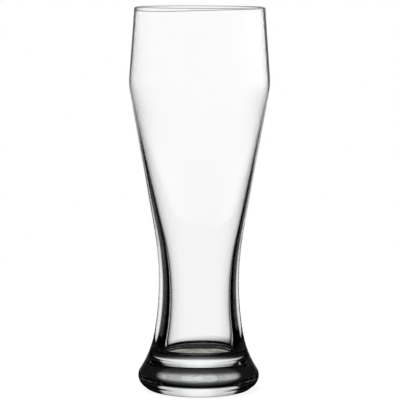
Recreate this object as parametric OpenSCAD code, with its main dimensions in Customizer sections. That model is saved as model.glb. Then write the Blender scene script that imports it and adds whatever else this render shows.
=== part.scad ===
// Tall wheat beer glass: a blown bowl sealed onto a heavy pressed foot.
// The origin is on the table at the middle of the foot, and +Z is the axis of the glass.
// Each outline is a row of corners, given where its straight runs would meet, with an arc
// at every corner.

/* [Bowl outside] */
// Height of the whole glass
glass_h = 235; // [226:1:250]
// Radius of the rim, outside
rim_r = 39.9; // [38:0.1:42]
// Radius of the belly corner, where the two bowl walls would meet
belly_r = 43.3; // [42:0.1:46]
// Height of the belly corner
belly_z = 188.5; // [175:0.5:200]
// Radius of the arc round the belly
belly_round = 39.6; // [20:0.2:80]
// Radius of the waist corner
waist_r = 22; // [20.5:0.1:25]
// Height of the waist corner
waist_z = 66.6; // [60:0.2:76]
// Radius of the arc along the waist
waist_round = 182; // [110:1:190]

/* [Bowl wall] */
// Thickness of the rim bead
bead_t = 1.4; // [1.2:0.05:2]
// Height of the rim bead
bead_h = 2.6; // [2:0.1:4]
// Wall just below the rim bead
rim_wall = 0.95; // [0.8:0.05:1.8]
// Wall across the belly corner
belly_wall = 0.7; // [0.6:0.05:1.8]
// How far the inner belly corner lies below the outer one
belly_drop = 4; // [0:0.1:6]
// Radius of the inner arc round the belly
belly_in_round = 60; // [20:0.2:80]
// Wall across the waist corner
waist_wall = 5.9; // [3:0.05:6.5]
// How far the inner waist corner lies below the outer one
waist_drop = 1.6; // [0:0.1:6]
// Radius of the inner arc along the waist
waist_in_round = 170; // [110:1:190]
// Wall across the skirt corner, beside the inner floor
floor_wall = 7.4; // [5:0.05:9]
// Radius between the inner wall and the inner floor
floor_round = 2; // [1:0.1:8]
// Thickness of the bowl's own bottom, above the seal
bottom_t = 3; // [2:0.1:6]

/* [Foot] */
// Height of the foot, up to its seal with the bowl
foot_h = 20; // [18:0.1:23]
// Radius of the skirt corner, where the waist turns out into the foot
skirt_r = 29.4; // [28:0.1:31]
// Height of the skirt corner
skirt_z = 24.1; // [22:0.1:27]
// Radius of the arc along the skirt
skirt_round = 63; // [30:1:70]
// Radius of the bulge corner, the widest of the foot
bulge_r = 39.6; // [38:0.1:42]
// Height of the bulge corner
bulge_z = 6.7; // [5:0.1:9]
// Radius of the arc round the bulge
bulge_round = 7.75; // [4:0.05:8]
// Radius of the ring corner, where the underside would meet the bulge
ring_r = 31.1; // [29:0.1:33]
// Radius of the arc round the ring corner
ring_round = 4; // [1:0.1:5]
// Width of the ring that the glass stands on, in from its corner
ring_w = 2.6; // [2.2:0.1:6]
// Rise of the flat hollow under the foot
punt_h = 2; // [1:0.1:4]
// Width of the slope from the ring up into the hollow
punt_slope = 2; // [1:0.1:5]

/* [Knurled ring] */
// Number of short grooves pressed into the ring
groove_count = 72; // [36:1:90]
// Width of one groove
groove_w = 0.9; // [0.5:0.05:1.1]
// Depth of one groove
groove_depth = 0.25; // [0.1:0.05:0.4]
// Plain land left between the grooves and the hollow
ring_land = 0.8; // [0.6:0.1:1.2]

/* [Hidden] */
$fn = 120;
glass_colour = [0.84, 0.91, 0.92, 0.4];
foot_colour = [0.76, 0.85, 0.87, 0.55];
// Most that a short straight run may stand off its true arc
chord_gap = 0.02;
// How far a cut runs past the face that it opens
overrun = 1;

rim_round = bead_t / 2;
floor_z = foot_h + bottom_t;
floor_r = skirt_r - floor_wall;
hollow_r = ring_r - ring_w;

// Each corner is [radius, height, arc radius], from the inside of the standing ring up the outside,
// over the rim and down the inside to the middle of the floor.
corners = [
    [hollow_r, 0, 0],
    [ring_r, 0, ring_round],
    [bulge_r, bulge_z, bulge_round],
    [skirt_r, skirt_z, skirt_round],
    [waist_r, waist_z, waist_round],
    [belly_r, belly_z, belly_round],
    [rim_r, glass_h, rim_round],
    [rim_r - bead_t, glass_h, rim_round],
    [rim_r - rim_wall, glass_h - bead_h, bead_h],
    [belly_r - belly_wall, belly_z - belly_drop, belly_in_round],
    [waist_r - waist_wall, waist_z - waist_drop, waist_in_round],
    [floor_r, floor_z, floor_round],
    [0, floor_z, 0],
];

function spot(i) = [corners[i].x, corners[i].y];
function unit(v) = v / norm(v);
function side(i) = norm(spot(i + 1) - spot(i));

// Half of the turn that the outline makes at corner i
function half_turn(i) =
    90 - acos(unit(spot(i - 1) - spot(i)) * unit(spot(i + 1) - spot(i))) / 2;

// Length of side that the arc at corner i would use up
function reach(i) = corners[i].z == 0 ? 0 : corners[i].z * tan(half_turn(i));

// Share of its radius that an arc on side i keeps, so that two arcs never cross
function room_share(i) = min(1, side(i) / max(reach(i) + reach(i + 1), chord_gap));

function arc_r(i) = corners[i].z * min(room_share(i - 1), room_share(i));

// Points of the arc at corner i, from its first tangent point to its last
function arc(i) =
    let (
        back = unit(spot(i - 1) - spot(i)),
        ahead = unit(spot(i + 1) - spot(i)),
        r = arc_r(i),
        turn = half_turn(i),
        centre = spot(i) + unit(back + ahead) * r / cos(turn),
        start = spot(i) + back * r * tan(turn) - centre,
        way = sign(back.y * ahead.x - back.x * ahead.y),
        steps = max(4, ceil(turn / acos(1 - min(chord_gap / r, 1 / 2))))
    )
    [for (k = [0:steps])
        let (a = way * 2 * turn * k / steps)
        centre + [start.x * cos(a) - start.y * sin(a), start.x * sin(a) + start.y * cos(a)]];

outline = [for (i = [0:len(corners) - 1]) each corners[i].z == 0 ? [spot(i)] : arc(i)];

// The seal cuts the outline across at the height of the foot.
below = [for (p = outline) if (p.y < foot_h) p];
above = [for (p = outline) if (p.y > foot_h) p];
last_below = below[len(below) - 1];
seal_share = (foot_h - last_below.y) / (above[0].y - last_below.y);
seal_edge = last_below + (above[0] - last_below) * seal_share;

module bowl() {
    color(glass_colour)
    rotate_extrude()
    polygon([[0, foot_h], seal_edge, each above]);
}

// One round-bottomed groove, open at the outer edge of the standing ring
module groove() {
    groove_ball_r = (groove_w * groove_w / 4 + groove_depth * groove_depth) / (2 * groove_depth);
    translate([hollow_r + ring_land, 0, groove_depth - groove_ball_r])
    rotate([0, 90, 0])
    cylinder(r = groove_ball_r, h = ring_w + overrun);
}

module foot() {
    color(foot_colour)
    difference() {
        rotate_extrude()
        polygon([[0, punt_h], [hollow_r - punt_slope, punt_h], each below, seal_edge, [0, foot_h]]);
        for (k = [0:groove_count - 1])
            rotate([0, 0, 360 * k / groove_count])
            groove();
    }
}

bowl();
foot();
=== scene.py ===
import math
import bpy
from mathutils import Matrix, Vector


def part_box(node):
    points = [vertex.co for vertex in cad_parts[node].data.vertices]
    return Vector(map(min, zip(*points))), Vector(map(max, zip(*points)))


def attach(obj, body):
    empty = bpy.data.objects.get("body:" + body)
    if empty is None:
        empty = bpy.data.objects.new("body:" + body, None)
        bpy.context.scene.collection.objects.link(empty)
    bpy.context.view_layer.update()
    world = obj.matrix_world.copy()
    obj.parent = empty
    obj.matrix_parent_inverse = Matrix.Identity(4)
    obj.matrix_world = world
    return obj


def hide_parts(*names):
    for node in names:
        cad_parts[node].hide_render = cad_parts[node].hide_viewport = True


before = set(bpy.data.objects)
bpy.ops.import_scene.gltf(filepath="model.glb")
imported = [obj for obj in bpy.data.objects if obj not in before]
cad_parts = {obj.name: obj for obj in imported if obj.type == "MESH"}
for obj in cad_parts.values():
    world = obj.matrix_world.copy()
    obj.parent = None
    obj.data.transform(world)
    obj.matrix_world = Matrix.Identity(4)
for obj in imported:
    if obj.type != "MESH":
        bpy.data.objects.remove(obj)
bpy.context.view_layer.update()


# The glass: one clear body of soda-lime glass, a blown bowl fused onto a heavy pressed foot.
# It is turned from one closed outline, so that no skin of air is left at the seal between them.
# Its inner wall is a little wavy and off centre, as blowing leaves it, and its ring is knurled.
MM = 0.001
glass_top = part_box("bowl")[1].z
rim_r = 39.9 * MM
belly_r = 43.3 * MM
belly_z = 188.5 * MM
belly_round = 39.6 * MM
waist_r = 22 * MM
waist_z = 66.6 * MM
waist_round = 182 * MM
bead_t = 1.4 * MM
bead_h = 2.6 * MM
rim_wall = 0.95 * MM
belly_wall = 0.7 * MM
belly_drop = 4 * MM
belly_in_round = 60 * MM
waist_wall = 5.9 * MM
waist_drop = 1.6 * MM
waist_in_round = 170 * MM
floor_wall = 7.4 * MM
floor_z = 23 * MM
floor_round = 2 * MM
skirt_r = 29.4 * MM
skirt_z = 24.1 * MM
skirt_round = 63 * MM
bulge_r = 39.6 * MM
bulge_z = 6.7 * MM
bulge_round = 7.75 * MM
ring_r = 31.1 * MM
ring_w = 2.6 * MM
ring_round = 4 * MM
ring_land = 0.8 * MM
land_round = 0.3 * MM
punt_slope = 2 * MM
punt_round = 0.5 * MM
punt_h = 2 * MM
hollow_r = ring_r - ring_w

# The outline runs from the middle of the underside up the outside, over the rim and down to the inner floor.
# Each corner is (radius, height, radius of its arc, share that it takes of the inner wall's wave and shift).
corners = [
    (0, punt_h, 0, 0),
    (hollow_r - punt_slope, punt_h, punt_round, 0),
    (hollow_r, 0, land_round, 0),
    (ring_r, 0, ring_round, 0),
    (bulge_r, bulge_z, bulge_round, 0),
    (skirt_r, skirt_z, skirt_round, 0),
    (waist_r, waist_z, waist_round, 0),
    (belly_r, belly_z, belly_round, 0),
    (rim_r, glass_top, bead_t / 2, 0),
    (rim_r - bead_t, glass_top, bead_t / 2, 0),
    (rim_r - rim_wall, glass_top - bead_h, bead_h, -0.2),
    (belly_r - belly_wall, belly_z - belly_drop, belly_in_round, -0.3),
    (waist_r - waist_wall, waist_z - waist_drop, waist_in_round, 1),
    (skirt_r - floor_wall, floor_z, floor_round, 0.3),
    (0, floor_z, 0, 0),
]
# The arcs are made of steps no longer and no more turned than this. A straight run is cut up by its length.
finest_turn = math.radians(3)
longest_step = 5 * MM
longest_run = 6.5 * MM
same_point = 0.002 * MM
crease_angle = math.radians(35)


def arc_steps(i):
    """How many straight steps the arc at corner i is made of."""
    if i == 0 or i == len(corners) - 1 or corners[i][2] == 0:
        return 1
    here, back, ahead = (Vector(corners[k][:2]) for k in (i, i - 1, i + 1))
    turn = math.pi - (back - here).angle(ahead - here)
    return max(2, math.ceil(turn / finest_turn), math.ceil(turn * corners[i][2] / longest_step))


outline = bpy.data.meshes.new("glass_outline")
outline.from_pydata([(r, 0, z) for r, z, arc, inside in corners],
                    [(i, i + 1) for i in range(len(corners) - 1)], [])
outline.attributes.new("arc", "FLOAT", "POINT").data.foreach_set("value", [c[2] for c in corners])
outline.attributes.new("arc_steps", "INT", "POINT").data.foreach_set(
    "value", [arc_steps(i) for i in range(len(corners))])
outline.attributes.new("inside", "FLOAT", "POINT").data.foreach_set("value", [c[3] for c in corners])
glass = bpy.data.objects.new("weizen_glass", outline)
bpy.context.scene.collection.objects.link(glass)

# A step around is more than half a groove long, so the grooves are given wider than their 0.9 mm cut.
lathe = bpy.data.node_groups.new("glass_lathe", "GeometryNodeTree")
sizes = {
    "Steps Around": ("NodeSocketInt", 360),
    "Longest Run": ("NodeSocketFloat", longest_run),
    "Groove Count": ("NodeSocketInt", 72),
    "Groove Width": ("NodeSocketFloat", 1.3 * MM),
    "Groove Depth": ("NodeSocketFloat", 0.25 * MM),
    "Groove Start": ("NodeSocketFloat", hollow_r + ring_land),
    "Wall Wave": ("NodeSocketFloat", 0.12 * MM),
    "Wave Length": ("NodeSocketFloat", 45 * MM),
    "Wall Shift": ("NodeSocketFloat", 0.5 * MM),
    "Seed": ("NodeSocketFloat", 4.0),
}
lathe.interface.new_socket("Geometry", in_out="INPUT", socket_type="NodeSocketGeometry")
lathe.interface.new_socket("Geometry", in_out="OUTPUT", socket_type="NodeSocketGeometry")
size_ids = {}
for name, (kind, value) in sizes.items():
    size_ids[name] = lathe.interface.new_socket(name, in_out="INPUT", socket_type=kind).identifier
size_ids["Glass"] = lathe.interface.new_socket(
    "Glass", in_out="INPUT", socket_type="NodeSocketMaterial").identifier


def node(tree, kind, inputs=(), **settings):
    """A new node in a tree, with its inputs as a row of (socket, value or output to link)."""
    made = tree.nodes.new(kind)
    for name, value in settings.items():
        setattr(made, name, value)
    for socket, value in inputs:
        if isinstance(value, bpy.types.NodeSocket):
            tree.links.new(value, made.inputs[socket])
        else:
            made.inputs[socket].default_value = value
    return made


def sum_of(tree, operation, *values):
    """The output of a Math node, or of a chain of them where there are more than two values."""
    result = node(tree, "ShaderNodeMath", enumerate(values[:2]), operation=operation).outputs[0]
    for value in values[2:]:
        result = node(tree, "ShaderNodeMath", [(0, result), (1, value)], operation=operation).outputs[0]
    return result


given = node(lathe, "NodeGroupInput").outputs
arc = node(lathe, "GeometryNodeInputNamedAttribute", [("Name", "arc")], data_type="FLOAT")
steps = node(lathe, "GeometryNodeInputNamedAttribute", [("Name", "arc_steps")], data_type="INT")
inside = node(lathe, "GeometryNodeInputNamedAttribute", [("Name", "inside")], data_type="FLOAT")
position = node(lathe, "GeometryNodeInputPosition").outputs[0]
index = node(lathe, "GeometryNodeInputIndex").outputs[0]

# The corners become arcs, and the long straight runs get steps of their own.
line = node(lathe, "GeometryNodeMeshToCurve", [("Mesh", given["Geometry"])])
rounded = node(lathe, "GeometryNodeFilletCurve",
               [("Curve", line.outputs[0]), ("Count", steps.outputs[0]), ("Radius", arc.outputs[0]),
                ("Limit Radius", True)], mode="POLY")
following = node(lathe, "GeometryNodeFieldAtIndex",
                 [("Index", sum_of(lathe, "ADD", index, 1)), ("Value", position)],
                 data_type="FLOAT_VECTOR", domain="POINT")
run = node(lathe, "ShaderNodeVectorMath", [(0, following.outputs[0]), (1, position)], operation="DISTANCE")
cuts = sum_of(lathe, "FLOOR", sum_of(lathe, "DIVIDE", run.outputs["Value"], given["Longest Run"]))
profile = node(lathe, "GeometryNodeSubdivideCurve",
               [("Curve", rounded.outputs[0]), ("Cuts", cuts)]).outputs[0]
along = node(lathe, "GeometryNodeAttributeDomainSize", [("Geometry", profile)],
             component="CURVE").outputs["Point Count"]

# One grid is bent round the axis: its rows are the steps around, its columns the outline's points.
grid = node(lathe, "GeometryNodeMeshGrid",
            [("Vertices X", sum_of(lathe, "ADD", given["Steps Around"], 1)), ("Vertices Y", along)])
row = sum_of(lathe, "FLOOR", sum_of(lathe, "DIVIDE", sum_of(lathe, "ADD", index, 0.5), along))
column = sum_of(lathe, "SUBTRACT", index, sum_of(lathe, "MULTIPLY", row, along))
angle = sum_of(lathe, "DIVIDE", sum_of(lathe, "MULTIPLY", row, math.tau), given["Steps Around"])
spot = node(lathe, "GeometryNodeSampleIndex",
            [("Geometry", profile), ("Value", position), ("Index", column)],
            data_type="FLOAT_VECTOR", domain="POINT")
inner_share = node(lathe, "GeometryNodeSampleIndex",
                   [("Geometry", profile), ("Value", inside.outputs[0]), ("Index", column)],
                   data_type="FLOAT", domain="POINT").outputs[0]
spot_parts = node(lathe, "ShaderNodeSeparateXYZ", [(0, spot.outputs[0])])
radius, height = spot_parts.outputs[0], spot_parts.outputs[2]
cos_a = sum_of(lathe, "COSINE", angle)
sin_a = sum_of(lathe, "SINE", angle)

# The inner wall wanders by a slow noise, and sits a little to one side.
sample_at = node(lathe, "ShaderNodeCombineXYZ", [(0, sum_of(lathe, "MULTIPLY", radius, cos_a)),
                                                 (1, sum_of(lathe, "MULTIPLY", radius, sin_a)), (2, height)])
wave = node(lathe, "ShaderNodeTexNoise",
            [("Vector", sample_at.outputs[0]), ("W", given["Seed"]),
             ("Scale", sum_of(lathe, "DIVIDE", 1, given["Wave Length"])), ("Detail", 1.0)],
            noise_dimensions="4D")
wander = sum_of(lathe, "MULTIPLY", sum_of(lathe, "SUBTRACT", wave.outputs[0], 0.5), given["Wall Wave"],
                inner_share)
wall_r = sum_of(lathe, "ADD", radius, wander)
shift = sum_of(lathe, "MULTIPLY", given["Wall Shift"], inner_share)

# Every groove lifts the underside of the ring to the round bottom of its cut.
turns = sum_of(lathe, "MULTIPLY", sum_of(lathe, "DIVIDE", angle, math.tau), given["Groove Count"])
off_groove = sum_of(lathe, "DIVIDE", sum_of(lathe, "ABSOLUTE", sum_of(
    lathe, "SUBTRACT", turns, sum_of(lathe, "ROUND", turns))), given["Groove Count"])
across_groove = sum_of(lathe, "DIVIDE", sum_of(lathe, "MULTIPLY", off_groove, math.tau, radius),
                       sum_of(lathe, "DIVIDE", given["Groove Width"], 2))
cut = sum_of(lathe, "MULTIPLY", given["Groove Depth"],
             sum_of(lathe, "SUBTRACT", 1, sum_of(lathe, "MULTIPLY", across_groove, across_groove)))
on_ring = sum_of(lathe, "GREATER_THAN", radius, given["Groove Start"])
ring_z = sum_of(lathe, "MAXIMUM", height, sum_of(lathe, "MULTIPLY", cut, on_ring))
turned = node(lathe, "ShaderNodeCombineXYZ",
              [(0, sum_of(lathe, "ADD", sum_of(lathe, "MULTIPLY", wall_r, cos_a), shift)),
               (1, sum_of(lathe, "MULTIPLY", wall_r, sin_a)), (2, ring_z)])
shaped = node(lathe, "GeometryNodeSetPosition", [("Geometry", grid.outputs["Mesh"]),
                                                 ("Position", turned.outputs[0])])
closed = node(lathe, "GeometryNodeMergeByDistance", [("Geometry", shaped.outputs[0]),
                                                     ("Distance", same_point)])
edge_angle = node(lathe, "GeometryNodeInputMeshEdgeAngle").outputs[0]
smooth_faces = node(lathe, "GeometryNodeSetShadeSmooth",
                    [("Geometry", closed.outputs[0]), ("Shade Smooth", True)], domain="FACE")
smooth_edges = node(lathe, "GeometryNodeSetShadeSmooth",
                    [("Geometry", smooth_faces.outputs[0]),
                     ("Shade Smooth", sum_of(lathe, "LESS_THAN", edge_angle, crease_angle))], domain="EDGE")
real = node(lathe, "GeometryNodeRealizeInstances", [("Geometry", smooth_edges.outputs[0])])
dressed = node(lathe, "GeometryNodeSetMaterial", [("Geometry", real.outputs[0]),
                                                  ("Material", given["Glass"])])
node(lathe, "NodeGroupOutput", [("Geometry", dressed.outputs[0])])

# Clear glass, fire polished: it bends light as soda-lime glass does and takes a faint cool tint in its depth.
# Washing has left the skin very slightly uneven, which shows only in how sharp the reflections are.
clear = bpy.data.materials.new("clear_glass")
clear.use_nodes = True
skin = clear.node_tree
skin.nodes.clear()
body = node(skin, "ShaderNodeBsdfPrincipled",
            [("Base Color", (1, 1, 1, 1)), ("IOR", 1.5), ("Metallic", 0.0), ("Transmission Weight", 1.0)])
where = node(skin, "ShaderNodeTexCoord").outputs["Object"]
haze = node(skin, "ShaderNodeTexNoise", [("Vector", where), ("Scale", 90.0), ("Detail", 4.0)])
polish = node(skin, "ShaderNodeMapRange",
              [("Value", haze.outputs[0]), ("From Min", 0.45), ("From Max", 0.75),
               ("To Min", 0.0), ("To Max", 0.012)])
skin.links.new(polish.outputs[0], body.inputs["Roughness"])
tint = node(skin, "ShaderNodeVolumeAbsorption", [("Color", (0.9, 0.96, 0.97, 1)), ("Density", 4.0)])
node(skin, "ShaderNodeOutputMaterial", [("Surface", body.outputs[0]), ("Volume", tint.outputs[0])])

turning = glass.modifiers.new("lathe", "NODES")
turning.node_group = lathe
for name, (kind, value) in sizes.items():
    turning[size_ids[name]] = value
turning[size_ids["Glass"]] = clear
bpy.context.view_layer.update()
done = bpy.data.meshes.new_from_object(glass.evaluated_get(bpy.context.evaluated_depsgraph_get()))
glass.modifiers.remove(turning)
glass.data = done
done.name = "weizen_glass"
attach(glass, "root")
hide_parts("bowl", "foot")


# The table: a plain white top, lit from above. To the eye it is white right up to the glass, with a faint
# shadow. Seen through the glass it shows painted light: white where the white panels stand behind it and dark
# between them.
table_r = 600 * MM
table_gap = 0.2 * MM
table_white = 0.2
table_glow = 0.92
shade_r = 130 * MM
patch_r = 30 * MM
disc = bpy.data.meshes.new("table")
rim_steps = 96
rim_turns = [math.tau * k / rim_steps for k in range(rim_steps)]
disc.from_pydata([(table_r * math.cos(a), table_r * math.sin(a), -table_gap) for a in rim_turns],
                 [], [tuple(range(rim_steps))])
table = bpy.data.objects.new("table", disc)
bpy.context.scene.collection.objects.link(table)


def ramp(tree, factor, stops):
    """The value of a colour ramp whose stops are (place, level)."""
    made = node(tree, "ShaderNodeValToRGB", [("Fac", factor)])
    row_of = made.color_ramp.elements
    while len(row_of) < len(stops):
        row_of.new(1.0)
    for stop, (place, level) in zip(row_of, stops):
        stop.position = place
        stop.color = (level, level, level, 1)
    return made.outputs[0]


# The brightness of the white panels, by degrees to either side of the way from the camera to the glass.
# Light that passed only one wall sees the plain panel, and the table mirrors a narrower one close by.
plain_panel = [(0, 1.04), (7, 0.98), (13, 0.8), (27, 0.74), (29.5, 0.35), (31, 0.05), (33, 0)]
near_panel = [(0, 1.04), (5, 0.98), (9, 0.8), (13, 0.7), (15.5, 0.35), (17, 0.05), (19, 0)]
# Light through both walls of the hollow bowl, above and below the waist.
bowl_panel = [(0, 1.12), (1.2, 1.125), (1.7, 1.135), (2.2, 1.16), (3, 1.21), (3.8, 1.29), (5.5, 1.53),
              (8, 1.88), (12, 2.6), (18, 2.6), (25, 2), (31, 1), (35, 0.3), (36.5, 0)]
waist_panel = [(0, 1.08), (10, 1.07), (14, 1.04), (17, 1.0), (20, 0.99), (22.5, 0.92), (25, 0.92),
               (28, 0.8), (31, 0.55), (34, 0.3), (36.5, 0)]
# Light turned back by a wall, above and below the waist, and light thrown up inside the foot.
bowl_edge = [(0, 1.1), (6, 1), (10, 0.45), (14, 0.2), (22, 0.08), (36, 0)]
waist_edge = [(0, 1.4), (8, 1.3), (13, 1.15), (17, 1), (20.5, 0.65), (23.5, 0.15), (26.5, 0)]
foot_panel = [(0, 0.78), (6, 0.7), (12, 0.54), (20, 0.5), (26, 0.44), (29, 0.2), (31, 0.03), (33, 0)]
# The other sides have panels too, which show only in light that hasn't been turned back inside the glass.
side_panels = [(77, 0), (80, 0.9), (102, 0.9), (110, 0.9), (114, 0.1), (117, 0.9), (180, 0.9)]
# One more pair shows only through both walls of the hollow bowl, or at the height of a look over its rim.
open_panels = [(40, 0), (42, 0.9), (52, 0.9), (54, 0), (62, 0), (66, 0.9), (180, 0.9)]
# Brightness by the height above or below the glass, in degrees, through two walls and for the rest.
hollow_heights = [(-90, 0.01), (-26, 0.05), (-20, 0.3), (-17, 0.7), (-14, 1), (4, 1), (6, 0.6), (9, 0.1),
                  (20, 0.03), (24, 0.03), (27, 0.8), (90, 0.8)]
turned_heights = [(-90, 0.01), (-26, 0.05), (-20, 0.3), (-17, 0.7), (-14, 1), (9, 1), (11, 0.95),
                  (14, 0.65), (16.5, 0.45), (19.4, 0.17), (22.7, 0.09), (31, 0.04), (90, 0.02)]
# Which heights belong to the upper bowl, straight through and turned back, which to light thrown up by the
# foot, and which to a look over the rim.
through_heights = [(-90, 0), (-10.5, 0), (-6, 1), (90, 1)]
bowl_heights = [(-90, 0), (-7, 0), (-5.5, 1), (90, 1)]
foot_heights = [(-90, 0), (6, 0), (8, 1), (90, 1)]
over_heights = [(-90, 0), (-24, 0), (-21, 1), (-9.8, 1), (-9, 0), (90, 0)]
# Light that was turned back more than twice has crept along a wall, and keeps this share of its panel.
crept_share = 0.5
# Light that was turned back and passed both walls of the bowl as well keeps only this share.
lost_share = 0.1


def mixed(tree, share, low, high):
    """A value that goes from low to high as share goes from 0 to 1."""
    return sum_of(tree, "ADD", low, sum_of(tree, "MULTIPLY", share, sum_of(tree, "SUBTRACT", high, low)))


def by_way_of_glass(tree, way):
    """1 for light that reaches the eye through the glass or off it."""
    return sum_of(tree, "MAXIMUM", way["Is Transmission Ray"], way["Is Glossy Ray"])


def through_both_walls(tree, way):
    """1 for light that came through both walls of the hollow bowl, which have four surfaces."""
    return sum_of(tree, "GREATER_THAN", way["Transmission Depth"], 3.5)


def never_turned_back(tree, way):
    """1 for light that no surface of the glass has turned back."""
    return sum_of(tree, "LESS_THAN", way["Glossy Depth"], 0.5)


def panels(tree, way, toward_x, toward_y, of_through, of_bowl, of_foot, over_rim, unevenness, plain_edges):
    """How bright the panels are in the direction (x, y) from the axis of the glass.

    of_through, of_bowl, of_foot and over_rim are shares, from 0 to 1, by the height of the direction."""
    turn = sum_of(tree, "DIVIDE", sum_of(tree, "ABSOLUTE", sum_of(tree, "ARCTAN2", toward_x, toward_y)),
                  math.pi)
    plain, bowl, waist, turned_bowl, turned_waist, turned_foot, side, through = (
        ramp(tree, turn, [(a / 180, level) for a, level in edges])
        for edges in (plain_edges, bowl_panel, waist_panel, bowl_edge, waist_edge, foot_panel, side_panels,
                      open_panels))
    straight = never_turned_back(tree, way)
    two_walls = through_both_walls(tree, way)
    open_share = sum_of(tree, "MAXIMUM", two_walls, over_rim)
    others = sum_of(tree, "MULTIPLY", straight, sum_of(tree, "MAXIMUM", side,
                                                       sum_of(tree, "MULTIPLY", through, open_share)))
    ahead = mixed(tree, two_walls, plain, mixed(tree, of_through, waist, bowl))
    twice_at_most = sum_of(tree, "LESS_THAN", way["Glossy Depth"], 2.5)
    along_wall = sum_of(tree, "MULTIPLY", mixed(tree, twice_at_most, crept_share, 1),
                        mixed(tree, of_bowl, turned_waist, turned_bowl))
    turned = mixed(tree, of_foot, along_wall, sum_of(tree, "MULTIPLY", turned_foot, unevenness))
    lost = sum_of(tree, "MULTIPLY", two_walls, sum_of(tree, "SUBTRACT", 1, straight))
    return sum_of(tree, "MULTIPLY", mixed(tree, lost, 1, lost_share),
                  sum_of(tree, "MAXIMUM", mixed(tree, straight, turned, ahead), others))


top = bpy.data.materials.new("table_top")
top.use_nodes = True
tree = top.node_tree
tree.nodes.clear()
way = node(tree, "ShaderNodeLightPath").outputs
on_table = node(tree, "ShaderNodeSeparateXYZ", [(0, node(tree, "ShaderNodeTexCoord").outputs["Object"])])
from_axis = sum_of(tree, "SQRT", sum_of(tree, "ADD",
                                        sum_of(tree, "POWER", on_table.outputs[0], 2),
                                        sum_of(tree, "POWER", on_table.outputs[1], 2)))
bent = by_way_of_glass(tree, way)
straight = never_turned_back(tree, way)
# Through or off the glass the top shows painted light, a painted reflection of the white panels: bright at a
# low angle, darker where it is looked at more steeply.
# Close to the foot the painted reflection goes dark. Straight from above it is painted pale grey.
low_angle = node(tree, "ShaderNodeLayerWeight", [("Blend", 0.5)]).outputs["Facing"]
from_foot = sum_of(tree, "DIVIDE", from_axis, shade_r)
one_wall = sum_of(
    tree, "MULTIPLY",
    ramp(tree, from_foot, [(0.455, 0.01), (0.485, 0.14), (0.5, 0.32), (0.523, 0.85), (0.56, 1)]),
    ramp(tree, low_angle, [(0, 0), (0.5, 0.05), (0.56, 0.25), (0.61, 1)]))
two_walls = sum_of(
    tree, "MULTIPLY",
    ramp(tree, from_foot, [(0.3, 0.02), (0.4, 0.08), (0.646, 0.28), (0.785, 0.55), (0.89, 0.8), (1, 1)]),
    ramp(tree, low_angle, [(0, 0), (0.5, 0.05), (0.554, 0.25), (0.62, 0.7), (0.68, 1)]))
painted_reflection = sum_of(tree, "MULTIPLY", mixed(tree, through_both_walls(tree, way), one_wall, two_walls),
                  panels(tree, way, on_table.outputs[0], on_table.outputs[1], 0, 0, 0, 0, 1, near_panel))
from_above = sum_of(tree, "MULTIPLY", straight, ramp(tree, low_angle, [(0, 0.6), (0.12, 0.6), (0.2, 0)]))
in_glass = sum_of(tree, "MULTIPLY", sum_of(tree, "MAXIMUM", from_above, painted_reflection), bent)
to_the_eye = sum_of(tree, "MULTIPLY", way["Is Camera Ray"], table_glow)
glow = node(tree, "ShaderNodeEmission", [("Color", (1, 1, 1, 1)),
                                         ("Strength", sum_of(tree, "ADD", in_glass, to_the_eye))])
# Behind the middle of the foot a painted caustic: a patch of warm glow painted on the top in uneven streaks,
# standing in for light that the glass gathers.
# Only light that no surface has turned back shows it.
under_foot = sum_of(tree, "LESS_THAN", from_axis, patch_r)
patch = ramp(tree, sum_of(tree, "ADD", sum_of(tree, "DIVIDE", on_table.outputs[1], 2 * patch_r), 0.5),
             [(0, 0.02), (0.66, 0.02), (0.72, 0.8), (0.93, 0.8), (0.95, 0.02)])
streak_at = node(tree, "ShaderNodeCombineXYZ", [(0, sum_of(tree, "MULTIPLY", on_table.outputs[0], 0.25)),
                                                (1, on_table.outputs[1])])
streaks = node(tree, "ShaderNodeTexNoise",
               [("Vector", streak_at.outputs[0]), ("Scale", 420.0), ("Detail", 3.0)])
uneven = ramp(tree, streaks.outputs[0], [(0.35, 0.35), (0.5, 0.7), (0.62, 1)])
painted_caustic = node(tree, "ShaderNodeEmission",
                [("Color", (1, 0.96, 0.88, 1)),
                 ("Strength", sum_of(tree, "MULTIPLY", under_foot, patch, uneven, straight, bent))])
light = node(tree, "ShaderNodeAddShader", [(0, glow.outputs[0]), (1, painted_caustic.outputs[0])])
# The top's own white takes the lamp's light and the shadow, but not where it is seen through the glass.
white = node(tree, "ShaderNodeBsdfDiffuse", [("Color", (table_white, table_white, table_white, 1))])
black = node(tree, "ShaderNodeBsdfDiffuse", [("Color", (0, 0, 0, 1))])
lit = node(tree, "ShaderNodeMixShader", [(0, bent), (1, white.outputs[0]), (2, black.outputs[0])])
both = node(tree, "ShaderNodeAddShader", [(0, lit.outputs[0]), (1, light.outputs[0])])
# From below, the top isn't there.
hole = node(tree, "ShaderNodeBsdfTransparent")
below = node(tree, "ShaderNodeNewGeometry").outputs["Backfacing"]
sided = node(tree, "ShaderNodeMixShader", [(0, below), (1, both.outputs[0]), (2, hole.outputs[0])])
node(tree, "ShaderNodeOutputMaterial", [("Surface", sided.outputs[0])])
disc.materials.append(top)


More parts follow.
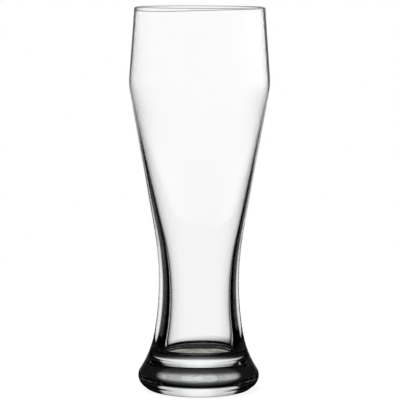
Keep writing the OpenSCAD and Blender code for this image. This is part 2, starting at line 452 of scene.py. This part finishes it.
# The studio: white cloth panels stand well behind the table, with dark gaps between them that draw the edges
# of the glass. They are in the world, by direction. To the camera all of it is white.
studio = bpy.data.worlds.new("studio")
bpy.context.scene.world = studio
studio.use_nodes = True
tree = studio.node_tree
tree.nodes.clear()
way = node(tree, "ShaderNodeLightPath").outputs
direction = node(tree, "ShaderNodeTexCoord").outputs["Generated"]
toward = node(tree, "ShaderNodeSeparateXYZ", [(0, direction)])
rise = sum_of(tree, "ADD", sum_of(tree, "DIVIDE", sum_of(tree, "ARCSINE", toward.outputs[2]), math.pi), 0.5)
turned_height, hollow_height, of_through, of_bowl, of_foot, over_rim = (
    ramp(tree, rise, [((h + 90) / 180, level) for h, level in heights])
    for heights in (turned_heights, hollow_heights, through_heights, bowl_heights, foot_heights,
                    over_heights))
by_height = mixed(tree, through_both_walls(tree, way), turned_height, hollow_height)
cloth = node(tree, "ShaderNodeTexNoise",
             [("Vector", direction), ("Scale", 9.0), ("Detail", 2.0), ("Distortion", 1.5)])
folds = ramp(tree, cloth.outputs[0], [(0.35, 0.72), (0.5, 0.95), (0.65, 1.08)])
seen = sum_of(tree, "MULTIPLY", by_height,
              panels(tree, way, toward.outputs[0], toward.outputs[1], of_through, of_bowl, of_foot,
                     over_rim, folds, plain_panel))
room_light = 0.008
by_glass = sum_of(tree, "ADD", sum_of(tree, "MULTIPLY", seen, by_way_of_glass(tree, way)), room_light)
strength = sum_of(tree, "MAXIMUM", by_glass, way["Is Camera Ray"])
sky = node(tree, "ShaderNodeBackground", [("Color", (1, 1, 1, 1)), ("Strength", strength)])
node(tree, "ShaderNodeOutputWorld", [("Surface", sky.outputs[0])])


# The lamp: one large round softbox hangs over the table, a little to the left and in front. It lights the top
# and makes the faint shadow, and it doesn't show in the glass.
lamp_size = 1.4
lamp_watts = 26
softbox_data = bpy.data.lights.new("softbox", "AREA")
softbox_data.shape = "DISK"
softbox_data.size = lamp_size
softbox_data.energy = lamp_watts
softbox = bpy.data.objects.new("softbox", softbox_data)
softbox.location = (-0.3, -0.2, 1.5)
softbox.rotation_euler = (Vector((0, 0, 0)) - softbox.location).to_track_quat("-Z", "Y").to_euler()
softbox.visible_glossy = False
softbox.visible_transmission = False
bpy.context.scene.collection.objects.link(softbox)


# The camera stands 1.4 m in front of the glass with a long lens. It is a little higher than the rim, looks
# down at the middle of the glass, and is rolled by a fifth of a degree.
camera_away = 1380.64 * MM
camera_up = 261.27 * MM
camera_down = math.radians(5.967)
camera_roll = math.radians(-0.2)
photo_w = 400
focal_px = 2264.45
film_w = 36
camera_data = bpy.data.cameras.new("camera")
camera_data.sensor_width = film_w
camera_data.lens = focal_px / photo_w * film_w
camera_data.clip_start = 50 * MM
camera = bpy.data.objects.new("camera", camera_data)
camera.location = (0, -camera_away, camera_up)
camera.rotation_euler = (math.pi / 2 - camera_down, camera_roll, 0)
bpy.context.scene.collection.objects.link(camera)
bpy.context.scene.camera = camera

# Light turns back inside the thick foot many times before it leaves, so the renderer follows it further.
bpy.context.scene.cycles.max_bounces = 24
bpy.context.scene.cycles.glossy_bounces = 16
bpy.context.scene.cycles.transmission_bounces = 24
bpy.context.scene.view_settings.view_transform = "Standard"
